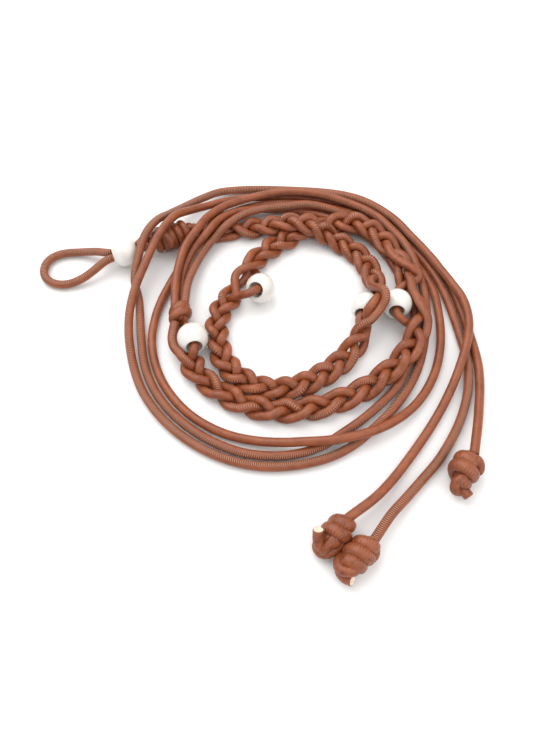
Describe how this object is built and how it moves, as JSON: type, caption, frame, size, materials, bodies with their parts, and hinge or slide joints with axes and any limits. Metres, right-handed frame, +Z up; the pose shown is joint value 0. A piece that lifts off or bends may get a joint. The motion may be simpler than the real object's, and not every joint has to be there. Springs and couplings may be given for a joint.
{
  "type": "knotted skinny belt",
  "caption": "Skinny belt of round faux-leather cord: an end loop through a pearl bead, a beaded braid and long loose tails that end in knots, lying coiled.",
  "frame": {"origin": "on the surface that the belt lies on, under the middle of the belt without its loose tails and their knots", "axes": "+Z up from the surface, the end loop towards -X, the knots of the tails towards -Y"},
  "size_m": [0.2019, 0.1991, 0.0193],
  "materials": {
    "leather_cord": "satin",
    "pearl": "gloss"
  },
  "bodies": {
    "root": {"end_loop": "leather_cord", "wrap_knot": "leather_cord", "mid_knot": "leather_cord", "loop_bead": "pearl", "knot_bead": "pearl", "braid_bead_1": "pearl", "braid_bead_2": "pearl", "braid_bead_3": "pearl", "braid_strand_a": "leather_cord", "braid_strand_b": "leather_cord", "braid_strand_c": "leather_cord", "tail_a": "leather_cord", "tail_b": "leather_cord", "tail_c": "leather_cord", "tail_knot_a": "leather_cord", "tail_knot_b": "leather_cord", "tail_knot_c": "leather_cord"}
  },
  "joints": []
}
